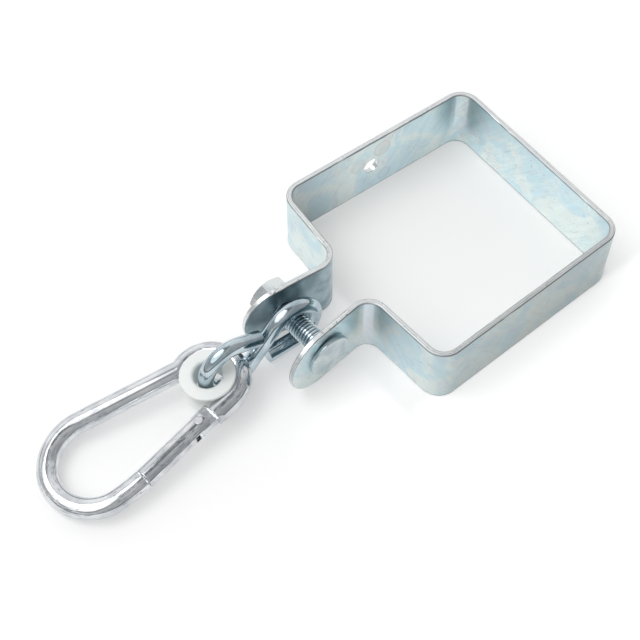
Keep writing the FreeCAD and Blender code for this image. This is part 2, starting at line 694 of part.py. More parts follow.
def gate_span():
    """From the gate's pin to the end of the nose, along the gate."""
    return size.gate_length - size.gate_tail + size.gate_end_gap


def pin_y():
    gate = math.radians(size.gate_angle)
    return size.nose_end_y - gate_span() * math.sin(gate)


def gate_frame():
    """Placement of the gate in the hook's frame: its origin is on the pin and +X runs to the nose."""
    return FreeCAD.Placement(V(size.pin_x, pin_y(), 0), FreeCAD.Rotation(UP, size.gate_angle))


def gate_sketch(body, name):
    """A sketch in the hook's body, in the gate's frame, seen from above."""
    sketch = sketch_on(body, name, "XY_Plane")
    sketch.AttachmentOffset = gate_frame()
    return sketch


def gate_side_sketch(body, name, outward):
    """A sketch beside the gate, a distance to its outer side: X along the gate, Y up."""
    gate = math.radians(size.gate_angle)
    sketch = sketch_on(body, name, "XZ_Plane")
    place = V(size.pin_x - outward * math.sin(gate), 0, -pin_y() - outward * math.cos(gate))
    sketch.AttachmentOffset = FreeCAD.Placement(place, FreeCAD.Rotation(V(0, 1, 0), size.gate_angle))
    return sketch


def trim_shoulder(body):
    """Slanting flat from the outer side of the full wire down to the tongue."""
    cut = gate_sketch(body, "shoulder_trim_outline")
    lean = math.radians(size.trim_lean)
    start = size.shoulder_x - size.pin_x
    inner = size.tongue_width / 2
    outer = inner + size.hook_wire / 2
    back = start - (outer - inner) / math.tan(lean)
    upright = line(cut, (start, inner), (start, outer))
    top = line(cut, (start, outer), (back, outer))
    slant = line(cut, (back, outer), (start, inner))
    join(cut, upright, 2, top, 1)
    join(cut, top, 2, slant, 1)
    join(cut, slant, 2, upright, 1)
    cut.addConstraint(Sketcher.Constraint("Vertical", upright))
    cut.addConstraint(Sketcher.Constraint("Horizontal", top))
    bind(cut, Sketcher.Constraint("DistanceX", -1, 1, upright, 1, start), "Sizes.shoulder_x - Sizes.pin_x")
    bind(cut, Sketcher.Constraint("DistanceY", -1, 1, upright, 1, inner), "Sizes.tongue_width / 2")
    bind(cut, Sketcher.Constraint("DistanceY", upright, 1, upright, 2, outer - inner), "Sizes.hook_wire / 2")
    bind(cut, Sketcher.Constraint("DistanceX", top, 2, top, 1, start - back),
         "Sizes.hook_wire / 2 / tan(Sizes.trim_lean * 1 deg)")
    pocket(body, "shoulder_trim", cut, "2 * Sizes.hook_wire", symmetric=True)


def hook_frame(far_x):
    """Placement of the hook: its ring hangs in the link's far eye and its big bend rests on the table."""
    eye = far_eye_centre()
    middle = size.rim_diameter / 2
    section = max(middle - size.hole_diameter / 2, size.ring_radius + size.hook_wire / 2 - middle)
    reach = size.far_eye_radius - size.link_wire / 2 - section - size.hang_play
    turn = math.radians(size.hang_angle)
    hung = V(eye.x + reach * math.cos(turn), 0, eye.z + reach * math.sin(turn))
    pitch = math.asin((hung.z - size.hook_wire / 2) / (middle + far_x))
    forward = V(-math.cos(pitch), 0, -math.sin(pitch))
    side = V(0, -1, 0)
    base = V(hung.x, size.hook_side_offset, hung.z) + forward * middle
    return FreeCAD.Placement(base, FreeCAD.Rotation(forward, side, forward.cross(side), "XYZ"))


def make_hook_body():
    """Round wire closed round the bushing, with a flat tongue for the gate and a T slot in its nose."""
    body = new_body("hook_body")
    path = hook_path(body)
    wire = sweep_round(body, path, "Sizes.hook_wire", from_end=True)
    start_x = size.shoulder_x

    def is_wire_start(edge):
        centre = edge.BoundBox.Center
        return edge.isClosed() and abs(centre.x - start_x) < NEAR and centre.y > 0

    fillet(body, "wire_start", wire, edges_where(wire.Shape, is_wire_start), "Sizes.wire_end_rounding")
    tongue = gate_sketch(body, "tongue_outline")
    half = size.tongue_width / 2
    back = size.shoulder_x - size.pin_x - size.overlap
    end = arc(tongue, (0, 0), half, -90, 90)
    inner = line(tongue, (back, -half), (0, -half))
    outer = line(tongue, (0, half), (back, half))
    root = line(tongue, (back, half), (back, -half))
    join(tongue, end, 3, -1, 1)
    join(tongue, inner, 2, end, 1, "Tangent")
    join(tongue, end, 2, outer, 1, "Tangent")
    join(tongue, outer, 2, root, 1)
    join(tongue, root, 2, inner, 1)
    tongue.addConstraint(Sketcher.Constraint("Horizontal", inner))
    tongue.addConstraint(Sketcher.Constraint("Vertical", root))
    bind(tongue, Sketcher.Constraint("Radius", end, half), "Sizes.tongue_width / 2")
    bind(tongue, Sketcher.Constraint("DistanceX", -1, 1, root, 1, back),
         "Sizes.shoulder_x - Sizes.pin_x - Sizes.overlap")
    pad(body, "tongue", tongue, "Sizes.tongue_thickness", symmetric=True)
    trim_shoulder(body)
    hole = gate_sketch(body, "pin_hole_outline")
    circle(hole, "Sizes.pin_diameter + 2 * Sizes.pin_clearance")
    pocket(body, "pin_hole", hole, "Sizes.hook_wire", symmetric=True)
    reach = "(Sizes.gate_length - Sizes.gate_tail)"
    gate_end = size.gate_length - size.gate_tail
    play = size.tee_clearance
    bar_start = gate_end + size.tee_neck_length
    floor = size.tee_width / 2 + play
    neck = gate_side_sketch(body, "neck_slot_outline", floor)
    neck_half = size.tee_neck_height / 2 + play
    neck_bound = "(Sizes.tee_neck_height / 2 + Sizes.tee_clearance)"
    rectangle(neck, (gate_end, reach), (bar_start, f"{reach} + Sizes.tee_neck_length"),
              (-neck_half, f"-{neck_bound}"), (neck_half, neck_bound))
    pocket(body, "neck_slot", neck, "2 * Sizes.hook_wire", reverse=True)
    bar = gate_side_sketch(body, "bar_slot_outline", floor)
    bar_half = size.tee_bar_height / 2 + play
    bar_bound = "(Sizes.tee_bar_height / 2 + Sizes.tee_clearance)"
    bar_end = bar_start + size.tee_bar_length + play
    rectangle(bar, (bar_start - play, f"{reach} + Sizes.tee_neck_length - Sizes.tee_clearance"),
              (bar_end, f"{reach} + Sizes.tee_neck_length + Sizes.tee_bar_length + Sizes.tee_clearance"),
              (-bar_half, f"-{bar_bound}"), (bar_half, bar_bound))
    pocket(body, "bar_slot", bar, "2 * Sizes.hook_wire", reverse=True)
    far_x = path.Shape.BoundBox.XMax
    body.Placement = hook_frame(far_x)
    return body


def make_bushing(place):
    """Plastic bushing: a hole with rounded mouths for the link, and a groove round the rim for the ring."""
    body = new_body("bushing")
    section = sketch_on(body, "half_section", "XZ_Plane")
    rim = size.rim_diameter / 2
    tall = size.rim_height
    hole_r = size.hole_diameter / 2
    mouth_r = size.mouth_rounding
    mouth = hole_r + mouth_r
    groove_r = size.hook_wire / 2 + size.groove_clearance
    lip = math.sqrt(groove_r ** 2 - (size.ring_radius - rim) ** 2)
    round_r = size.rim_rounding
    lip_turn = math.degrees(math.atan2(lip, rim - size.ring_radius))
    hole = line(section, (hole_r, mouth_r - tall), (hole_r, tall - mouth_r))
    top_mouth = arc(section, (mouth, tall - mouth_r), mouth_r, 90, 180)
    base_mouth = arc(section, (mouth, mouth_r - tall), mouth_r, 180, 270)
    groove = arc(section, (size.ring_radius, 0), groove_r, lip_turn, 360 - lip_turn)
    top = line(section, (mouth, tall), (rim - round_r, tall))
    top_round = arc(section, (rim - round_r, tall - round_r), round_r, 0, 90)
    top_side = line(section, (rim, tall - round_r), (rim, lip))
    base = line(section, (mouth, -tall), (rim - round_r, -tall))
    base_round = arc(section, (rim - round_r, round_r - tall), round_r, -90, 0)
    base_side = line(section, (rim, round_r - tall), (rim, -lip))
    join(section, hole, 2, top_mouth, 2, "Tangent")
    join(section, top_mouth, 1, top, 1, "Tangent")
    join(section, top, 2, top_round, 2, "Tangent")
    join(section, top_round, 1, top_side, 1, "Tangent")
    join(section, top_side, 2, groove, 1)
    join(section, hole, 1, base_mouth, 1, "Tangent")
    join(section, base_mouth, 2, base, 1, "Tangent")
    join(section, base, 2, base_round, 1, "Tangent")
    join(section, base_round, 2, base_side, 1, "Tangent")
    join(section, base_side, 2, groove, 2)
    for flat in (top, base):
        section.addConstraint(Sketcher.Constraint("Horizontal", flat))
    for upright in (hole, top_side, base_side):
        section.addConstraint(Sketcher.Constraint("Vertical", upright))
    section.addConstraint(Sketcher.Constraint("PointOnObject", groove, 3, -1))
    bind(section, Sketcher.Constraint("DistanceX", -1, 1, hole, 1, hole_r), "Sizes.hole_diameter / 2")
    bind(section, Sketcher.Constraint("DistanceX", -1, 1, groove, 3, size.ring_radius), "Sizes.ring_radius")
    bind(section, Sketcher.Constraint("Radius", top_mouth, mouth_r), "Sizes.mouth_rounding")
    bind(section, Sketcher.Constraint("Radius", base_mouth, mouth_r), "Sizes.mouth_rounding")
    bind(section, Sketcher.Constraint("Radius", groove, groove_r),
         "Sizes.hook_wire / 2 + Sizes.groove_clearance")
    bind(section, Sketcher.Constraint("Radius", top_round, round_r), "Sizes.rim_rounding")
    bind(section, Sketcher.Constraint("Radius", base_round, round_r), "Sizes.rim_rounding")
    for side, name, sign in ((top, top_side, ""), (base, base_side, "-")):
        bind(section, Sketcher.Constraint("DistanceY", -1, 1, side, 1, tall if not sign else -tall),
             f"{sign}Sizes.rim_height")
        bind(section, Sketcher.Constraint("DistanceX", -1, 1, name, 1, rim), "Sizes.rim_diameter / 2")
    revolve(body, "turned", section, "Z_Axis")
    body.Placement = place
    return body


# Gate. In its own frame +X runs along it from the pin to the nose


def end_sketch(body, name, x_expression):
    """A sketch square to the gate at a distance from the pin."""
    sketch = sketch_on(body, name, "YZ_Plane")
    sketch.setExpression(".AttachmentOffset.Base.z", x_expression)
    doc.recompute()
    return sketch


def make_gate(place):
    """Round bar with a saw slot over the tongue, a bore for the spring and a flat T at the nose."""
    body = new_body("gate")
    outline = end_sketch(body, "gate_outline", "-Sizes.gate_tail")
    circle(outline, "Sizes.gate_diameter")
    bar = pad(body, "bar", outline, "Sizes.gate_length")
    rims = edges_where(bar.Shape, lambda edge: edge.BoundBox.XLength < NEAR)
    fillet(body, "bar_ends", bar, rims, "Sizes.gate_rounding")
    cheeks = sketch_on(body, "cheek_slot_outline", "XZ_Plane")
    half = size.tongue_thickness / 2 + size.cheek_clearance
    bound = "(Sizes.tongue_thickness / 2 + Sizes.cheek_clearance)"
    rectangle(cheeks, (-size.gate_tail - size.overlap, "-Sizes.gate_tail - Sizes.overlap"),
              (size.cheek_slot_reach, "Sizes.cheek_slot_reach"), (-half, f"-{bound}"), (half, bound))
    pocket(body, "cheek_slot", cheeks, "2 * Sizes.gate_diameter", symmetric=True)
    bore = end_sketch(body, "bore_outline", "Sizes.cheek_slot_reach")
    circle(bore, "Sizes.bore_diameter")
    pocket(body, "bore", bore, "Sizes.bore_depth", reverse=True)
    hole = sketch_on(body, "pin_hole_outline", "XY_Plane")
    circle(hole, "Sizes.pin_diameter")
    pocket(body, "pin_hole", hole, "2 * Sizes.gate_diameter", symmetric=True)
    for name, up in (("upper", 1), ("lower", -1)):
        seat = sketch_on(body, f"{name}_head_seat_outline", "XY_Plane")
        seat.AttachmentOffset.Base = V(0, 0, up * size.pin_head_seat)
        seat.setExpression(".AttachmentOffset.Base.z", f"{up} * Sizes.pin_head_seat")
        circle(seat, "Sizes.pin_head_diameter + 2 * Sizes.pin_clearance")
        pocket(body, f"{name}_head_seat", seat, "Sizes.gate_diameter", reverse=up > 0)
    end = size.gate_length - size.gate_tail
    reach = "(Sizes.gate_length - Sizes.gate_tail)"
    neck = sketch_on(body, "tee_neck_outline", "XZ_Plane")
    neck_half = size.tee_neck_height / 2
    rectangle(neck, (end - size.overlap, f"{reach} - Sizes.overlap"),
              (end + size.tee_neck_length, f"{reach} + Sizes.tee_neck_length"),
              (-neck_half, "-Sizes.tee_neck_height / 2"), (neck_half, "Sizes.tee_neck_height / 2"))
    pad(body, "tee_neck", neck, "Sizes.tee_width", symmetric=True)
    cross = sketch_on(body, "tee_bar_outline", "XZ_Plane")
    cross_half = size.tee_bar_height / 2
    start = end + size.tee_neck_length
    rectangle(cross, (start, f"{reach} + Sizes.tee_neck_length"),
              (start + size.tee_bar_length, f"{reach} + Sizes.tee_neck_length + Sizes.tee_bar_length"),
              (-cross_half, "-Sizes.tee_bar_height / 2"), (cross_half, "Sizes.tee_bar_height / 2"))
    pad(body, "tee_bar", cross, "Sizes.tee_width", symmetric=True)
    body.Placement = place
    return body


def make_gate_pin(place):
    """Rivet through the gate's cheeks and the tongue, with a low round head seated in each cheek."""
    body = new_body("gate_pin")
    outline = sketch_on(body, "pin_outline", "XY_Plane")
    circle(outline, "Sizes.pin_diameter")
    pad(body, "pin", outline, "2 * Sizes.pin_head_seat", symmetric=True)
    for name, up in (("upper", 1), ("lower", -1)):
        head = sketch_on(body, f"{name}_head_outline", "XY_Plane")
        head.setExpression(".AttachmentOffset.Base.z", f"{up} * Sizes.pin_head_seat")
        circle(head, "Sizes.pin_head_diameter")
        pad(body, f"{name}_head", head, "Sizes.pin_head_height - Sizes.pin_head_seat", reverse=up < 0)
    middle = (size.pin_head_seat + size.pin_head_height) / 2
    rims = edges_where(body.Shape, lambda edge: edge.isClosed()
                       and min(abs(edge.BoundBox.ZMin), abs(edge.BoundBox.ZMax)) > middle)
    fillet(body, "head_rims", body.Tip, rims, "Sizes.pin_head_rounding")
    body.Placement = place
    return body


def make_plunger(place):
    """Short round plunger between the spring and the tongue's round end."""
    body = new_body("gate_plunger")
    outline = end_sketch(body, "plunger_outline", "Sizes.tongue_width / 2 + Sizes.pin_clearance")
    circle(outline, "Sizes.bore_diameter - 2 * Sizes.plunger_clearance")
    rod = pad(body, "plunger", outline, "Sizes.plunger_length")
    front = size.tongue_width / 2 + size.plunger_length / 2
    rim = edges_where(rod.Shape, lambda edge: edge.BoundBox.XMax < front and edge.BoundBox.XLength < NEAR)
    fillet(body, "nose_round", rod, rim, "Sizes.plunger_rounding")
    body.Placement = place
    return body


def make_spring(place):
    """Coil spring in the gate's bore, from the plunger to the bottom of the bore."""
    body = new_body("gate_spring")
    outline = sketch_on(body, "spring_wire_outline", "XZ_Plane")
    coil_radius = size.bore_diameter / 2 - size.plunger_clearance - size.spring_wire / 2
    bound = "(Sizes.bore_diameter / 2 - Sizes.plunger_clearance - Sizes.spring_wire / 2)"
    circle(outline, "Sizes.spring_wire", ((coil_radius, bound), (0.0, None)))
    coil = body.newObject("PartDesign::AdditiveHelix", "coil")
    coil.Profile = outline
    coil.ReferenceAxis = (origin_plane(body, "Z_Axis"), "")
    coil.Mode = "pitch-height-angle"
    start = "(Sizes.tongue_width / 2 + Sizes.pin_clearance + Sizes.plunger_length)"
    length = f"(Sizes.cheek_slot_reach + Sizes.bore_depth - {start})"
    coil.setExpression("Pitch", "Sizes.spring_pitch")
    coil.setExpression("Height", f"{length} - Sizes.spring_wire - 2 * Sizes.spring_end_gap")
    doc.recompute()
    seat = size.tongue_width / 2 + size.pin_clearance + size.plunger_length
    front = seat + size.spring_end_gap + size.spring_wire / 2
    turned = FreeCAD.Placement(V(front, 0, 0), FreeCAD.Rotation(V(0, 1, 0), 90))
    body.Placement = place.multiply(turned)
    return body


hook_body = make_hook_body()
at_gate = hook_body.Placement.multiply(gate_frame())
parts = [
    make_strap(),
    make_bolt(),
    make_nut(),
    make_link(),
    make_bushing(hook_body.Placement),
    hook_body,
    make_gate(at_gate),
    make_gate_pin(at_gate),
    make_plunger(at_gate),
    make_spring(at_gate),
]
doc.recompute()

for item in doc.Objects:
    if "Invalid" in item.State or "Error" in item.State:
        raise RuntimeError(f"{item.Label} failed: {item.State}")
for part in parts:
    if part.Shape.isNull() or not part.Shape.isValid() or part.Shape.Volume <= 0:
        raise RuntimeError(f"{part.Label} has no valid shape")
for part in parts:
    part.Shape.exportStep(f"parts/{part.Label}.step")
    print(part.Label, len(part.Shape.Solids), "solid,", round(part.Shape.Volume), "mm3")
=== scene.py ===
"""Looks of the square-beam swing hook: metals, plastic, bolt thread, floor, light and camera."""

import json
import math

import bpy
import numpy as np
from mathutils import Matrix, Vector


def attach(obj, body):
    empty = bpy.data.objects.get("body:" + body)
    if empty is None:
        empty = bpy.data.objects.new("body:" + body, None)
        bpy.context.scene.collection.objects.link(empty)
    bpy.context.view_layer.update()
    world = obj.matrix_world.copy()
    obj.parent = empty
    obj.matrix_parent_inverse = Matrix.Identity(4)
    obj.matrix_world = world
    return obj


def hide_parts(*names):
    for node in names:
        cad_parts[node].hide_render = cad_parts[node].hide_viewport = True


MM = 0.001
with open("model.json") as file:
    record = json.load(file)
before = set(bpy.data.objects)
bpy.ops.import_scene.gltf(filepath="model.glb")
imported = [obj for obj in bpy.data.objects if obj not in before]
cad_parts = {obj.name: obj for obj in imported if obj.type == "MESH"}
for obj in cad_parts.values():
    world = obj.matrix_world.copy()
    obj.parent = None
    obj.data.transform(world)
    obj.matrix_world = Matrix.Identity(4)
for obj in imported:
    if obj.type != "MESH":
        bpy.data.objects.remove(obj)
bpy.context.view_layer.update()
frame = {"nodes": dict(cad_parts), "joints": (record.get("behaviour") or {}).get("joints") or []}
nodes = frame["nodes"]
joints = {joint["name"]: joint for joint in frame["joints"]}


# Node trees written as plain maths


class Term:
    """One number or vector inside a material, so that its maths reads as ordinary Python."""

    def __init__(self, tree, socket):
        self.tree = tree
        self.socket = socket

    def _with(self, operation, *others):
        terms = (self,) + others
        vector = any(isinstance(t, Term) and t.socket.type in ("VECTOR", "RGBA") for t in terms)
        kind = "ShaderNodeVectorMath" if vector else "ShaderNodeMath"
        return add_node(self.tree, kind, {"operation": operation}, dict(enumerate(terms)))

    def __add__(self, other):
        return self._with("ADD", other)

    def __radd__(self, other):
        return self._with("ADD", other)

    def __sub__(self, other):
        return self._with("SUBTRACT", other)

    def __rsub__(self, other):
        return -1 * self + other

    def __mul__(self, other):
        return self._with("MULTIPLY", other)

    def __rmul__(self, other):
        return self._with("MULTIPLY", other)

    def __abs__(self):
        return self._with("ABSOLUTE", 0.0)

    def most(self, other):
        return self._with("MAXIMUM", other)

    def dot(self, other):
        return add_node(self.tree, "ShaderNodeVectorMath", {"operation": "DOT_PRODUCT"},
                        {0: self, 1: other}, "Value")

    def length(self):
        return add_node(self.tree, "ShaderNodeVectorMath", {"operation": "LENGTH"}, {0: self}, "Value")

    def parts(self):
        return [add_node(self.tree, "ShaderNodeSeparateXYZ", {}, {0: self}, axis) for axis in "XYZ"]

    def ramp(self, low, high):
        """0 below low, 1 above high and a smooth rise between."""
        return add_node(self.tree, "ShaderNodeMapRange", {"interpolation_type": "SMOOTHSTEP"},
                        {"Value": self, "From Min": low, "From Max": high})

    def near(self, value, full, end):
        """1 within full of a value, 0 further than end from it and a smooth fall between."""
        return 1 - abs(self - value).ramp(full, end)

    def between(self, low, high, fall, end):
        """0 below low, 1 from high to fall, 0 above end, with smooth slopes."""
        return self.ramp(low, high) * (1 - self.ramp(fall, end))

    def replaced(self, mask, value):
        """This number where the mask is 0, the value where it is 1."""
        return self * (1 - mask) + mask * value


def add_node(tree, kind, settings, inputs, output=0):
    """Any node: its type, its settings, and its inputs as numbers, tuples or terms."""
    node = tree.nodes.new(kind)
    for name, value in settings.items():
        setattr(node, name, value)
    for name, value in inputs.items():
        socket = node.inputs[name]
        if isinstance(value, Term):
            tree.links.new(value.socket, socket)
        elif socket.type == "VECTOR" and isinstance(value, (int, float)):
            socket.default_value = (value, value, value)
        elif socket.type == "RGBA" and len(value) == 3:
            socket.default_value = (*value, 1.0)
        else:
            socket.default_value = value
    return Term(tree, node.outputs[output])


def vector(tree, x, y, z):
    return add_node(tree, "ShaderNodeCombineXYZ", {}, {"X": x, "Y": y, "Z": z})


def noise(tree, place, scale, detail=2.0, roughness=0.5, swirl=0.0):
    return add_node(tree, "ShaderNodeTexNoise", {}, {
        "Vector": place, "Scale": scale, "Detail": detail, "Roughness": roughness, "Distortion": swirl})


def mix(tree, factor, first, second):
    """A colour between two colours."""
    return add_node(tree, "ShaderNodeMix", {"data_type": "RGBA"}, {0: factor, 6: first, 7: second}, 2)


def bump(tree, height, distance):
    return add_node(tree, "ShaderNodeBump", {}, {"Strength": 1.0, "Distance": distance, "Height": height})


def object_place(tree):
    return add_node(tree, "ShaderNodeTexCoord", {}, {}, "Object")


def laid_place(tree):
    """Place along, across and square to the bent strip or wire, in metres, from the piece's own attribute."""
    return add_node(tree, "ShaderNodeAttribute", {"attribute_name": "laid"}, {}, "Vector")


def kind_of_ray(tree, kind):
    return add_node(tree, "ShaderNodeLightPath", {}, {}, kind)


def new_material(name):
    material = bpy.data.materials.new(name)
    material.use_nodes = True
    material.node_tree.nodes.clear()
    return material, material.node_tree


def finish_surface(tree, **inputs):
    """Principled surface on the material's output, with underscores in the names standing for spaces."""
    named = {key.replace("_", " "): value for key, value in inputs.items()}
    surface = add_node(tree, "ShaderNodeBsdfPrincipled", {}, named)
    output = tree.nodes.new("ShaderNodeOutputMaterial")
    tree.links.new(surface.socket, output.inputs["Surface"])


# Bent lines that the patterns follow, in millimetres and degrees

POINT_SPACING = 0.25
VERTICES_AT_ONCE = 4000


def bend_line(start, heading, steps):
    """Points and headings along a line bent in a plane.

    Each step is (length, 0) for a straight run or (radius, degrees) for a bend, left turns positive.
    On a bend of radius r the heading at arc length s is h + s / r.
    """
    points, turns = [], []
    place = np.array(start, float)
    angle = math.radians(heading)
    for size, turn in steps:
        sweep = math.radians(turn)
        length = size * abs(sweep) if turn else size
        s = np.linspace(0.0, length, max(2, int(length / POINT_SPACING)))
        if turn:
            side = math.copysign(1.0, turn)
            centre = place + size * side * np.array([-math.sin(angle), math.cos(angle)])
            a = angle + side * s / size
            points.append(centre - size * side * np.stack([-np.sin(a), np.cos(a)], 1))
            turns.append(a)
        else:
            points.append(place + s[:, None] * np.array([math.cos(angle), math.sin(angle)]))
            turns.append(np.full(len(s), angle))
        place = points[-1][-1]
        angle = turns[-1][-1]
    return np.concatenate(points), np.concatenate(turns)


def rounded_line(corners, radius):
    """A bent line through sharp corners, all rounded with one radius.

    A bend that turns by t takes radius * tan(|t| / 2) off the runs on both its sides.
    """
    runs = np.diff(np.array(corners, float), axis=0)
    headings = np.unwrap(np.arctan2(runs[:, 1], runs[:, 0]))
    turns = np.diff(headings)
    trims = radius * np.tan(abs(turns) / 2)
    straights = np.linalg.norm(runs, axis=1) - np.r_[0.0, trims] - np.r_[trims, 0.0]
    steps = [(straights[0], 0)]
    for turn, straight in zip(np.degrees(turns), straights[1:]):
        steps += [(radius, turn), (straight, 0)]
    return bend_line(corners[0], math.degrees(headings[0]), steps)


def lay_along(obj, line, from_plane):
    """Give each vertex its place along the line, across it in the plane, and off the plane, in metres."""
    points, turns = line
    co = np.empty(len(obj.data.vertices) * 3)
    obj.data.vertices.foreach_get("co", co)
    to_plane = np.array(from_plane.inverted(), float)
    local = np.c_[co.reshape(-1, 3) / MM, np.ones(len(co) // 3)] @ to_plane.T
    run = np.r_[0.0, np.cumsum(np.linalg.norm(np.diff(points, axis=0), axis=1))]
    laid = np.empty((len(local), 3))
    for first in range(0, len(local), VERTICES_AT_ONCE):
        some = local[first:first + VERTICES_AT_ONCE]
        apart = some[:, None, :2] - points[None]
        nearest = np.argmin((apart ** 2).sum(2), axis=1)
        offset = apart[np.arange(len(some)), nearest]
        a = turns[nearest]
        along = run[nearest] + offset[:, 0] * np.cos(a) + offset[:, 1] * np.sin(a)
        across = offset[:, 1] * np.cos(a) - offset[:, 0] * np.sin(a)
        laid[first:first + VERTICES_AT_ONCE] = np.stack([along, across, some[:, 2]], 1)
    attribute = obj.data.attributes.new("laid", "FLOAT_VECTOR", "POINT")
    attribute.data.foreach_set("vector", (laid * MM).astype(np.float32).ravel())


def plane_frame(origin, x_axis, y_axis, z_axis):
    """From a plane's own axes to the part's, in millimetres."""
    return Matrix.Translation(origin) @ Matrix((x_axis, y_axis, z_axis)).transposed().to_4x4()


def joint_place(name):
    return Vector(joints[name]["pos_m"]) / MM


# Strip: sharp corners of its middle line in plan, and the radius of its bends
STRIP_BEND_RADIUS = 8.25
LEFT_EAR_ROOT = (-54.0, 10.2)
LEFT_EAR_LENGTH = 47.2
LEFT_EAR_SPLAY = math.radians(5.0)
RIGHT_EAR_ROOT = (-54.65, -12.0)
RIGHT_EAR_LENGTH = 46.0
RIGHT_EAR_SPLAY = math.radians(7.7)
STRIP_CORNERS = [
    (LEFT_EAR_ROOT[0] - LEFT_EAR_LENGTH * math.cos(LEFT_EAR_SPLAY),
     LEFT_EAR_ROOT[1] + LEFT_EAR_LENGTH * math.sin(LEFT_EAR_SPLAY)),
    LEFT_EAR_ROOT,
    (-51.55, 53.1),
    (51.25, 51.25),
    (51.25, -51.25),
    (-51.55, -55.5),
    RIGHT_EAR_ROOT,
    (RIGHT_EAR_ROOT[0] - RIGHT_EAR_LENGTH * math.cos(RIGHT_EAR_SPLAY),
     RIGHT_EAR_ROOT[1] - RIGHT_EAR_LENGTH * math.sin(RIGHT_EAR_SPLAY)),
]

# Link: from the tip beside the bolt, round its eye, across, and round the bushing's eye the other way
LINK_START = (-97.166, 5.662)
LINK_HEADING = -2.9
LINK_STEPS = [(12.8, 0), (11.5, 231.9158), (21.6499, 0), (12.2, -252.9158), (10.9, 0)]

# Hook: from the shoulder that holds the gate, round the ring, the kink, the spine, the end bend and the nose
HOOK_START = (8.0, 14.7604)
GATE_HEADING = 9.32
HOOK_STEPS = [(10.2848, 0), (13.27, 193.4774), (5.2, -31.6674), (45.6899, 0), (21.0, 77.37),
              (19.05, 110.6102), (91.0, 7.6809)]

# Gate: a straight line from a little before its rivet
GATE_START = (-6.0, 0.0)
GATE_STEPS = [(48.0, 0)]

hook_normal = Vector(joints["hook_swing"]["axis"])
hook_across = Vector((0.0, -1.0, 0.0))
hook_axes = (hook_across.cross(hook_normal), hook_across, hook_normal)
hook_plane = plane_frame(joint_place("hook_swing"), *hook_axes)
gate_turn = Matrix.Rotation(math.radians(GATE_HEADING), 4, "Z")
gate_plane = plane_frame(joint_place("gate_hinge"), *hook_axes) @ gate_turn
link_middle = Vector((0.0, joint_place("hook_tilt").y, 0.0))
link_plane = plane_frame(link_middle, (1, 0, 0), (0, 0, 1), (0, 1, 0))

lay_along(nodes["strap"], rounded_line(STRIP_CORNERS, STRIP_BEND_RADIUS), Matrix.Identity(4))
lay_along(nodes["s_link"], bend_line(LINK_START, LINK_HEADING, LINK_STEPS), link_plane)
lay_along(nodes["hook_body"], bend_line(HOOK_START, 180.0 + GATE_HEADING, HOOK_STEPS), hook_plane)
lay_along(nodes["gate"], bend_line(GATE_START, 0.0, GATE_STEPS), gate_plane)


# Bolt with its real thread, standing for the plain one, in millimetres

BOLT_RADIUS = 5.0
BOLT_LENGTH = 40.5
BOLT_TIP_CHAMFER = 0.8
THREAD_PITCH = 1.5
THREAD_DEPTH = 0.9
THREAD_RING_SPACING = 0.1
HEAD_RADIUS = 10.25
HEAD_HEIGHT = 1.8
HEAD_ROUNDING = 0.5
HEAD_BACK_EDGE = 0.05
NECK_LENGTH = 2.2
HEAD_SEAT = 17.4103  # from the middle of the bolt, where the link swings, back to the near ear
POINTS_AROUND = 96
SHARP_ANGLE = math.radians(38)


def grid_piece(name, rings, start_pole, end_pole):
    """A closed surface from rings of points, shape (rings, around, 3), with a pole at each end."""
    count, around = rings.shape[:2]
    co = np.concatenate([rings.reshape(-1, 3), [start_pole, end_pole]]) * MM
    i, j = np.meshgrid(np.arange(count - 1), np.arange(around), indexing="ij")
    k = (j + 1) % around
    quads = np.stack([i * around + j, i * around + k, (i + 1) * around + k, (i + 1) * around + j], -1)
    j = np.arange(around)
    k = (j + 1) % around
    first = np.full(around, count * around)
    last = (count - 1) * around
    caps = np.concatenate([np.stack([first, k, j], -1), np.stack([first + 1, last + j, last + k], -1)])
    mesh = bpy.data.meshes.new(name)
    mesh.from_pydata(co.tolist(), [], quads.reshape(-1, 4).tolist() + caps.tolist())
    mesh.shade_smooth()
    mesh.set_sharp_from_angle(angle=SHARP_ANGLE)
    obj = bpy.data.objects.new(name, mesh)
    bpy.context.scene.collection.objects.link(obj)
    return obj


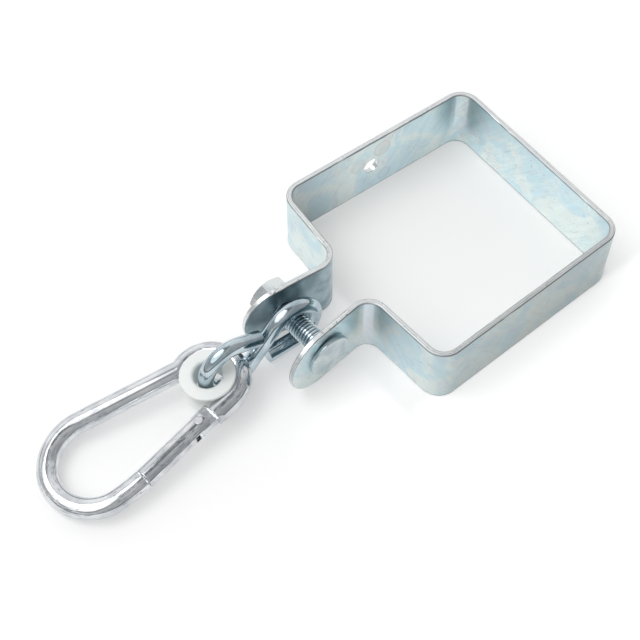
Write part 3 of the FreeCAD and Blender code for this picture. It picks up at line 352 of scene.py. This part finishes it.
def threaded_bolt():
    """Head, square neck and thread as one surface r(z, phi) round the bolt's axis.

    Head: a disc with a rounded rim. Neck: r = R / max(|cos phi|, |sin phi|), a square 2 R across.
    Thread: r = core + depth * tooth, with tooth = clamp((1 - |2 f - 1|) * 1.6 - 0.2, 0, 1) and
    f the fraction of z / pitch - phi / 2 pi. The tooth's height is kept as the attribute crest.
    """
    phi = np.linspace(0, 2 * np.pi, POINTS_AROUND, endpoint=False)
    turn = np.linspace(0, np.pi / 2, 7)
    rim_r = HEAD_RADIUS - HEAD_ROUNDING + HEAD_ROUNDING * np.sin(turn)
    rim_z = HEAD_ROUNDING - HEAD_HEIGHT - HEAD_ROUNDING * np.cos(turn)
    head_r = np.concatenate([[3.0, 6.0, 8.5], rim_r, [HEAD_RADIUS, HEAD_RADIUS - HEAD_BACK_EDGE]])
    head_z = np.concatenate([[-HEAD_HEIGHT] * 3, rim_z, [-2 * HEAD_BACK_EDGE, 0.0]])
    square = BOLT_RADIUS / np.maximum(abs(np.cos(phi)), abs(np.sin(phi)))
    shank_z = np.arange(NECK_LENGTH, BOLT_LENGTH, THREAD_RING_SPACING)
    f = (shank_z[:, None] / THREAD_PITCH - phi[None] / (2 * np.pi)) % 1.0
    tooth = np.clip((1 - abs(2 * f - 1)) * 1.6 - 0.2, 0, 1)
    chamfer = BOLT_RADIUS - BOLT_TIP_CHAMFER + BOLT_LENGTH - shank_z[:, None]
    shank_r = np.minimum(BOLT_RADIUS - THREAD_DEPTH * (1 - tooth), np.minimum(BOLT_RADIUS, chamfer))
    r = np.concatenate([np.repeat(head_r[:, None], POINTS_AROUND, 1), [square, square], shank_r])
    z = np.concatenate([head_z, [0.0, NECK_LENGTH], shank_z])
    local = np.stack([r * np.cos(phi), r * np.sin(phi), np.repeat(z[:, None], POINTS_AROUND, 1)], -1)
    axis = np.array(joints["link_swing"]["axis"])
    up = np.array([0.0, 0.0, 1.0])
    side = np.cross(up, axis)
    seat = np.array(joint_place("link_swing")) - HEAD_SEAT * axis

    def put(points):
        return points[..., :1] * side + points[..., 1:2] * up + points[..., 2:3] * axis + seat

    piece = grid_piece("threaded_bolt", put(local), put(np.array([0, 0, -HEAD_HEIGHT])),
                       put(np.array([0, 0, BOLT_LENGTH])))
    thread_start = (len(head_z) + 2) * POINTS_AROUND
    thread_end = len(piece.data.polygons) - 2 * POINTS_AROUND
    face = np.arange(len(piece.data.polygons))
    threaded = (face >= thread_start) & (face < thread_end)
    piece.data.polygons.foreach_set("material_index", threaded.astype(np.int32))
    crest = np.ones(len(piece.data.vertices), np.float32)
    crest[thread_start:thread_start + tooth.size] = tooth.ravel()
    piece.data.attributes.new("crest", "FLOAT", "POINT").data.foreach_set("value", crest)
    return piece


bolt = threaded_bolt()
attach(bolt, "clamp")
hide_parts("pivot_bolt")


# Finish of the strip, with places along its middle line from the left ear's tip, in metres

# Stretches of the strip for the painted shade and painted light on its walls and ears, and for the ears'
# nicks: where each starts, is full, starts to fade and is gone
BACK_WALL = (0.188, 0.200, 0.266, 0.280)
NEAR_WALL = (0.276, 0.292, 0.376, 0.392)
LEFT_FLANGE_END = (0.078, 0.088, 0.088, 0.128)
PAST_EARS = (0.040, 0.056, 0.414, 0.428)
FAR_CORNER = 0.1843
RIGHT_EAR_BEND = 0.4230
MIDDLE_HEIGHT = 0.016

# Noise is read at shifted places, so that no two patterns share their blots
STAIN_SHIFT = (0.31, 0.17, 0.05)
LILAC_SHIFT = (0.11, 0.77, 0.45)
PATCH_SHIFT = (0.5, 0.2, 0.9)
BLOTCH_SHIFT = (0.9, 0.4, 0.2)


def ring_stain(along, height, place, radius):
    """A faint drying mark on the strip: a ring with a weaker middle, from 0 to 1."""
    middle = vector(along.tree, *place, 0.0)
    apart = (vector(along.tree, along, height, 0.0) - middle).length()
    ring = apart.near(radius, 0.0, 0.0011)
    return ring * 0.7 + (1 - apart.ramp(radius * 0.5, radius * 1.2)) * 0.35


def cloudy_zinc(tree, place, streaks):
    """Pale blue and green clouds with beige and lilac stains, from Object coordinates."""
    clouds = noise(tree, place, 48.0, 4.0, 0.6, 1.0)
    stains = noise(tree, place + STAIN_SHIFT, 42.0, 4.0, 0.6, 2.0)
    lilacs = noise(tree, place + LILAC_SHIFT, 60.0, 4.0, 0.6, 2.5)
    tint = mix(tree, clouds.ramp(0.40, 0.60), (0.58, 0.74, 0.79), (0.73, 0.81, 0.79))
    tint = mix(tree, stains.ramp(0.53, 0.66) * 0.45, tint, (0.77, 0.75, 0.71))
    tint = mix(tree, lilacs.ramp(0.56, 0.66) * 0.55, tint, (0.62, 0.66, 0.75))
    return tint * (0.88 + streaks * 0.22), clouds


def paint_wall_shade_and_highlights(tree, tint, along, height, inner, outer):
    """Painted shade and painted reflections: darker near wall and left flange end, lighter back wall, painted
    shade beside two bends and a painted highlight on the right ear's bend.
    """
    # Painted shade on the near wall's outer face, a little less towards the right ear
    near_wall_shade = outer * along.between(*NEAR_WALL)
    tint = tint * (1 - near_wall_shade * (0.30 - along.ramp(0.31, 0.37) * 0.08))
    # Painted reflection: the back wall's inner face lighter
    tint = tint * (1 + inner * along.between(*BACK_WALL) * 0.10)
    # Painted shade in the left flange's end, darker towards the bottom
    tint = tint * (1 - inner * along.between(*LEFT_FLANGE_END) * (0.50 - height * 6))
    # Painted shade in dark bands on both sides of the far corner, over its upper part
    from_corner = abs(along - FAR_CORNER)
    corner_band_shade = from_corner.between(0.0028, 0.0042, 0.006, 0.020) * height.ramp(0.006, 0.024)
    tint = tint * (1 - inner * corner_band_shade * 0.30)
    # Painted shade in dark bands on both sides of the right ear's bend, and a painted highlight on the bend
    from_bend = abs(along - RIGHT_EAR_BEND)
    bend_band_shade = from_bend.between(0.0016, 0.0034, 0.006, 0.018) * height.ramp(0.004, 0.022)
    tint = tint * (1 - outer * bend_band_shade * 0.26)
    bend_highlight = outer * (1 - from_bend.ramp(0.0014, 0.0034))
    return mix(tree, bend_highlight * 0.7, tint, (0.74, 0.78, 0.84))


def stain_by_hole(tree, tint, along, height, inner):
    """Drying rings round the screw hole: beige ones above it, blue ones below it."""
    above = ring_stain(along, height, (0.1376, 0.0245), 0.0042)
    above = above.most(ring_stain(along, height, (0.1240, 0.0210), 0.0036) * 0.6)
    tint = mix(tree, above * inner * 0.8, tint, (0.58, 0.57, 0.53))
    below = ring_stain(along, height, (0.1395, 0.0060), 0.0034)
    below = below.most(ring_stain(along, height, (0.1254, 0.0080), 0.0030) * 0.7)
    return mix(tree, below * inner * 0.6, tint, (0.50, 0.56, 0.66))


def worn_and_shaded_edge(tree, place, along, across, lines, ears):
    """Bright worn metal with two wandering grey lines and nicks, most of them on the ears, with a painted
    dark outline on its rounded borders and painted shade on the near wall.
    """
    wander = across + (lines - 0.5) * 0.0012
    line = wander.near(0.0003, 0.0, 0.0003).most(wander.near(-0.0005, 0.0, 0.0002))
    worn = mix(tree, line * 0.7, (0.84, 0.86, 0.86), (0.42, 0.44, 0.47))
    # Painted shade: a dark outline along the edge's rounded borders
    edge_outline_shade = abs(across).ramp(0.00075, 0.00105) * lines.ramp(0.28, 0.46)
    worn = mix(tree, edge_outline_shade * 0.9, worn, (0.26, 0.29, 0.31))
    # Painted shade: the edges darker on the near wall
    worn = worn * (1 - along.between(*NEAR_WALL) * 0.22)
    nicks = noise(tree, place, 800.0, 2.0).ramp(0.56, 0.64) * noise(tree, place, 60.0, 1.0).ramp(0.46, 0.60)
    return mix(tree, nicks * (0.35 + ears * 0.5), worn, (0.26, 0.28, 0.29))


def plated_strip():
    """Blue-passivated zinc on rolled strip: cloudy tints, slanting streaks, hair scratches, worn edges, and
    painted shade and painted highlights on walls, bends, ears and edges.

    The strip's outer side has positive across. Streaks run about 50 degrees up from its length.
    """
    material, tree = new_material("blue_zinc_strip")
    place = object_place(tree)
    along, across, height = laid_place(tree).parts()
    inner = (-1 * across).ramp(0.0007, 0.0011)
    outer = across.ramp(0.0007, 0.0011)
    slant = along * 0.64 + height * 0.77
    cross = height * 0.64 - along * 0.77
    streaks = noise(tree, vector(tree, slant * 60, cross * 420, across * 100), 1.0, 3.0)
    tint, clouds = cloudy_zinc(tree, place, streaks)
    tint = paint_wall_shade_and_highlights(tree, tint, along, height, inner, outer)
    tint = stain_by_hole(tree, tint, along, height, inner)

    # Painted shade on the ears' inner faces, mottled, where they mirror the shadowed gap between the ears
    ears = 1 - along.between(*PAST_EARS)
    blotches = noise(tree, place + BLOTCH_SHIFT, 110.0, 3.0, 0.5)
    ear_gap_shade = mix(tree, blotches.ramp(0.36, 0.66), (0.21, 0.30, 0.34), (0.40, 0.51, 0.55))
    tint = mix(tree, inner * ears * 0.92, tint, ear_gap_shade)

    # Scratches and chips
    hairs = noise(tree, vector(tree, slant * 45, cross * 1400, across * 100), 1.0, 1.0)
    patches = noise(tree, place + PATCH_SHIFT, 70.0, 2.0)
    scratch = hairs.near(0.5, 0.0, 0.016) * patches.ramp(0.46, 0.56)
    tint = mix(tree, scratch * 0.65, tint, (0.36, 0.39, 0.40))
    pits = add_node(tree, "ShaderNodeTexVoronoi", {}, {"Vector": place, "Scale": 230.0}, "Distance")
    chips = (1 - pits.ramp(0.05, 0.12)) * noise(tree, place, 90.0, 1.0).ramp(0.50, 0.58)
    tint = mix(tree, chips * 0.6, tint, (0.28, 0.29, 0.28))

    # Edges, and a painted dark line beside them: painted shade where the rounding mirrors the dark horizon,
    # and a painted contact shadow at the bottom
    from_middle = abs(height - MIDDLE_HEIGHT)
    edge = from_middle.ramp(0.01545, 0.0157).most(1 - abs(across).ramp(0.00108, 0.00118))
    edge_line_shade = from_middle.ramp(0.0151, 0.0153) * (1 - edge)
    lines = noise(tree, vector(tree, along * 110, across * 700, height * 700), 1.0, 3.0)
    tint = mix(tree, edge_line_shade * (0.35 + lines.ramp(0.40, 0.60) * 0.55), tint, (0.22, 0.25, 0.26))
    tint = mix(tree, edge, tint, worn_and_shaded_edge(tree, place, along, across, lines, ears))

    rough = 0.24 + streaks * 0.10 + clouds * 0.06 - edge * 0.02
    grain = streaks * 0.6 + noise(tree, place, 700.0, 2.0) * 0.4 - scratch * 0.3
    finish_surface(tree, Base_Color=tint, Metallic=1.0, Roughness=rough, Normal=bump(tree, grain, 0.00006))
    return material


# Finishes of the wires and the small parts

SCRATCH_SHIFT = (0.7, 0.1, 0.3)


def plated_wire(name, dark, light, roughness, lines, depth):
    """Bright zinc on round wire: drawn lines, dark scratches in patches and a slight waviness.

    lines is how marked the drawn lines are, from 0 to 1, and depth is the relief in metres.
    """
    material, tree = new_material(name)
    place = object_place(tree)
    along, across, off = laid_place(tree).parts()
    drawn = noise(tree, vector(tree, along * 45, across * 1800, off * 1800), 1.0, 3.0, 0.6)
    hairs = noise(tree, vector(tree, along * 80, across * 1400, off * 1400), 1.0, 2.0)
    patches = noise(tree, place + SCRATCH_SHIFT, 80.0, 2.0).ramp(0.38, 0.56)
    scratch = hairs.near(0.5, 0.005, 0.024) * patches * lines
    waves = noise(tree, vector(tree, along * 160, across * 380, off * 380), 1.0, 2.0)
    clouds = noise(tree, place, 110.0, 3.0)
    tint = mix(tree, clouds.ramp(0.35, 0.65), dark, light) * (0.92 + drawn * 0.16)
    tint = mix(tree, scratch * 0.85, tint, (0.24, 0.26, 0.30))
    rough = roughness + drawn * 0.04 * lines + clouds * 0.02
    grain = waves * 0.10 + drawn * 0.22 * lines - scratch * 0.25
    finish_surface(tree, Base_Color=tint, Metallic=1.0, Roughness=rough, Normal=bump(tree, grain, depth))
    return material


def plated_part(name, dark, light, roughness, depth):
    """Zinc or steel on a small turned or pressed part, with faint clouds and dents of a depth in metres."""
    material, tree = new_material(name)
    place = object_place(tree)
    clouds = noise(tree, place, 160.0, 3.0)
    grains = noise(tree, place, 1100.0, 3.0)
    dents = noise(tree, place, 420.0, 1.0)
    tint = mix(tree, clouds.ramp(0.35, 0.65), dark, light) * (0.90 + grains * 0.2)
    grain = dents * 0.6 + grains * 0.4
    finish_surface(tree, Base_Color=tint, Metallic=1.0, Roughness=roughness + grains * 0.12,
                   Normal=bump(tree, grain, depth))
    return material


def rolled_thread():
    """Bright zinc on the thread's crests, with painted shade in the roots between them."""
    material, tree = new_material("thread_zinc")
    clouds = noise(tree, object_place(tree), 160.0, 2.0)
    crest = add_node(tree, "ShaderNodeAttribute", {"attribute_name": "crest"}, {}, "Fac")
    tint = mix(tree, clouds.ramp(0.35, 0.65), (0.62, 0.72, 0.77), (0.84, 0.90, 0.93))
    # Painted shade in the thread's roots, from the tooth height
    tint = mix(tree, crest.ramp(0.15, 0.75), (0.30, 0.38, 0.43), tint)
    finish_surface(tree, Base_Color=tint, Metallic=1.0, Roughness=0.20 + clouds * 0.08)
    return material


def milky_plastic():
    """Natural nylon: milky and slightly see-through, with a faint moulding haze."""
    material, tree = new_material("milky_nylon")
    place = object_place(tree)
    haze = noise(tree, place, 90.0, 2.0)
    tint = mix(tree, haze.ramp(0.35, 0.65), (0.92, 0.98, 0.96), (0.97, 1.0, 0.97))
    finish_surface(tree, Base_Color=tint, Roughness=0.34 + haze * 0.08, IOR=1.53,
                   Transmission_Weight=0.08, Subsurface_Weight=0.4, Subsurface_Radius=(1.0, 1.0, 0.9),
                   Subsurface_Scale=0.0015, Normal=bump(tree, noise(tree, place, 800.0, 2.0), 0.00002))
    return material


strip_zinc = plated_strip()
link_zinc = plated_wire("blue_zinc_wire", (0.42, 0.52, 0.57), (0.60, 0.69, 0.74), 0.04, 0.3, 0.00006)
hook_zinc = plated_wire("bright_zinc_wire", (0.62, 0.645, 0.675), (0.77, 0.79, 0.81), 0.05, 1.0, 0.00009)
bolt_zinc = plated_part("bolt_zinc", (0.46, 0.55, 0.58), (0.64, 0.70, 0.72), 0.16, 0.00007)
nut_zinc = plated_part("nut_zinc", (0.64, 0.70, 0.72), (0.82, 0.86, 0.86), 0.20, 0.00008)
pin_steel = plated_part("pin_steel", (0.48, 0.49, 0.51), (0.62, 0.63, 0.65), 0.22, 0.00008)
spring_steel = plated_part("spring_wire", (0.40, 0.40, 0.41), (0.55, 0.55, 0.56), 0.30, 0.00003)
nylon = milky_plastic()
finishes = {"strap": strip_zinc, "pivot_bolt": bolt_zinc, "nut": nut_zinc, "s_link": link_zinc,
            "bushing": nylon, "hook_body": hook_zinc, "gate": hook_zinc, "gate_pin": pin_steel,
            "gate_plunger": pin_steel, "gate_spring": spring_steel}
for node, material in finishes.items():
    nodes[node].data.materials.clear()
    nodes[node].data.materials.append(material)
bolt.data.materials.append(bolt_zinc)
bolt.data.materials.append(rolled_thread())


# Floor, sky, lamp and camera

FLOOR_REACH = 3.0
FLOOR_LIFT = 0.36
FLOOR_WHITE = (1.05, 1.05, 1.05)
FLOOR_SOCKET_SHADOW = (0.80, 0.81, 0.79)
TO_HOOK_MIDDLE = (0.165, 0.0, 0.0)
TO_RIGHT_FLANGE = (0.080, 0.058, 0.0)


def pale_floor():
    """White table; what the camera and the metal see of it is lifted a little, and it keeps the shadow.

    Painted shadow darkens it inside the socket and round the hook; painted light whitens it past the near
    wall and the right flange.
    """
    mesh = bpy.data.meshes.new("table_top")
    corners = [(-FLOOR_REACH, -FLOOR_REACH, 0), (FLOOR_REACH, -FLOOR_REACH, 0),
               (FLOOR_REACH, FLOOR_REACH, 0), (-FLOOR_REACH, FLOOR_REACH, 0)]
    mesh.from_pydata(corners, [], [(0, 1, 2, 3)])
    floor = bpy.data.objects.new("table_top", mesh)
    bpy.context.scene.collection.objects.link(floor)
    material, tree = new_material("white_table")
    seen = kind_of_ray(tree, "Is Camera Ray")
    mirrored = kind_of_ray(tree, "Is Glossy Ray").most(kind_of_ray(tree, "Is Transmission Ray"))
    x, y = object_place(tree).parts()[:2]
    place = vector(tree, x, y, 0.0)
    outward = -1 * y
    # Painted shadow inside the socket and round the hook
    socket_shadow = 1 - abs(x).most(abs(y)).ramp(0.049, 0.0535)
    hook_shadow = 1 - (place + TO_HOOK_MIDDLE).length().ramp(0.02, 0.08)
    past_wall = outward.between(0.050, 0.056, 0.07, 0.12) * x.ramp(-0.075, -0.045)
    by_flange = 1 - (place + TO_RIGHT_FLANGE).length().ramp(0.010, 0.045)
    # Painted light past the near wall and beside the right flange
    painted_light = past_wall.most(by_flange * (-1 * x).ramp(0.064, 0.069) * 0.8)
    shade = mix(tree, socket_shadow, FLOOR_WHITE, FLOOR_SOCKET_SHADOW) * (1 - hook_shadow * 0.08 + painted_light * 0.4)
    lifted = shade * seen + vector(tree, 1.0, 1.0, 1.0) * mirrored
    finish_surface(tree, Base_Color=(0.68, 0.68, 0.68), Roughness=0.9, Specular_IOR_Level=0.0,
                   Emission_Color=lifted, Emission_Strength=FLOOR_LIFT)
    mesh.materials.append(material)


def studio_sky():
    """The room as the metal mirrors it, with +Z up and the camera on the -X -Y side.

    Darker to the right, grey behind the camera, pale paper behind the object, a pale wall on the left,
    a dark ceiling, a dark band at the horizon, and one large white softbox high on the left with a
    dark surround. The camera itself sees plain white.
    """
    world = bpy.data.worlds.new("studio")
    world.use_nodes = True
    tree = world.node_tree
    tree.nodes.clear()
    look = add_node(tree, "ShaderNodeTexCoord", {}, {}, "Generated")
    up = look.parts()[2]
    level = 0.50 + up * 0.14
    level = level * (1 - look.dot((0.82, -0.57, 0.0)).ramp(0.25, 0.60) * 0.26)
    paper = look.dot((0.6, 0.8, 0.0)).ramp(0.27, 0.40)
    level = level.replaced(paper, 0.84 + look.dot((-0.1, 0.24, 0.0)))
    wall = look.dot((-0.95, 0.3, 0.0)).ramp(0.45, 0.70)
    level = level.replaced(wall, 0.82)
    ceiling = look.dot((0.02, 0.10, 0.995)).ramp(0.925, 0.965)
    level = level.replaced(ceiling, 0.34)
    horizon = up.between(0.0, 0.03, 0.09, 0.16)
    level = level * (1 - horizon * 0.75)
    to_softbox = look.dot((-0.60, 0.10, 0.79))
    level = level * (1 - to_softbox.ramp(0.62, 0.78) * 0.45)
    softbox = to_softbox.ramp(0.79, 0.815) * up.ramp(0.55, 0.63)
    level = level.replaced(softbox, 1.5)
    level = level.replaced(kind_of_ray(tree, "Is Camera Ray"), 1.0)
    background = add_node(tree, "ShaderNodeBackground", {}, {"Color": vector(tree, level, level, level)})
    output = tree.nodes.new("ShaderNodeOutputWorld")
    tree.links.new(background.socket, output.inputs["Surface"])
    bpy.context.scene.world = world


def soft_lamp(name, place, aim, size, watts):
    """A round area lamp at a place, facing another."""
    data = bpy.data.lights.new(name, "AREA")
    data.shape = "DISK"
    data.size = size
    data.energy = watts
    lamp = bpy.data.objects.new(name, data)
    lamp.location = place
    lamp.rotation_euler = (Vector(aim) - Vector(place)).to_track_quat("-Z", "Y").to_euler()
    bpy.context.scene.collection.objects.link(lamp)


def photo_camera():
    """The photograph's viewpoint, worked out from the edges of the strap."""
    data = bpy.data.cameras.new("photo_view")
    data.sensor_width = 36.0
    data.lens = 75.98
    data.clip_start = 0.01
    camera = bpy.data.objects.new("photo_view", data)
    camera.location = (-0.261559, -0.251496, 0.495182)
    camera.rotation_euler = [math.radians(turn) for turn in (33.162, 0.1112, -37.2792)]
    bpy.context.scene.collection.objects.link(camera)
    bpy.context.scene.camera = camera


pale_floor()
studio_sky()
soft_lamp("window_lamp", (-0.55, 0.45, 1.25), (-0.05, 0.0, 0.0), 0.8, 4.0)
photo_camera()
bpy.context.scene.view_settings.view_transform = "Standard"
